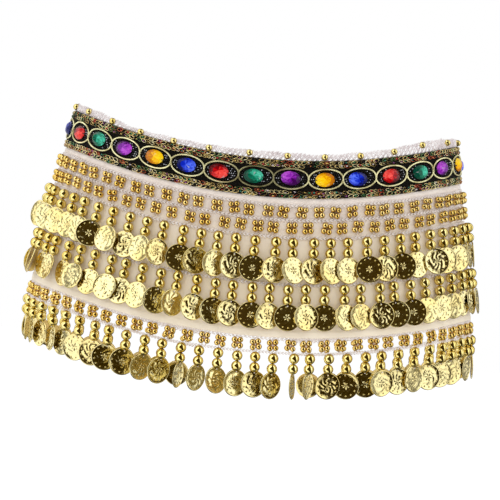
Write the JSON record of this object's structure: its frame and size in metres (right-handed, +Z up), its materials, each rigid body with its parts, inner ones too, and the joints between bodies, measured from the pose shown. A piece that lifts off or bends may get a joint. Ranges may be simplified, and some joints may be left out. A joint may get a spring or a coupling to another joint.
{
  "type": "belly dance hip scarf",
  "caption": "White cloth hip scarf in its worn, hollow form, with a jewelled black ribbon, beaded crochet rows and fringes of gold beads and coins, tied at the back.",
  "frame": {"origin": "centre of the waist opening, level with the highest points of the top edge over the hips", "axes": "+X to the wearer's left hip as seen in the picture's right, -Y to the front, +Z up"},
  "size_m": [0.3954, 0.2641, 0.2388],
  "materials": {
    "white_cloth": "matt plain-woven cotton, off-white with a warm pink cast",
    "white_cord": "matt twisted crochet yarn with small gold beads",
    "black_ribbon": "black jacquard ribbon with metallic braid borders, pale gold cord and faceted stones",
    "beaded_crochet": "beige crochet yarn worked round small polished gold beads",
    "gold": "polished pale gold plating, stamped coins and round beads",
    "open_crochet": "open crochet yarn with small polished gold beads",
    "tie_cloth": "matt plain-woven cotton, off-white"
  },
  "bodies": {
    "root": {"cloth_band": "white_cloth", "top_edging": "white_cord", "jewelled_ribbon": "black_ribbon", "beaded_crochet": "beaded_crochet", "coin_fringe_upper": "gold", "coin_fringe_middle": "gold", "coin_fringe_lower": "gold", "open_crochet_left": "open_crochet", "open_crochet_right": "open_crochet", "tie_knot": "tie_cloth", "tie_band_left": "tie_cloth", "tie_band_right": "tie_cloth", "tie_tail_left": "tie_cloth", "tie_tail_right": "tie_cloth"}
  },
  "joints": []
}
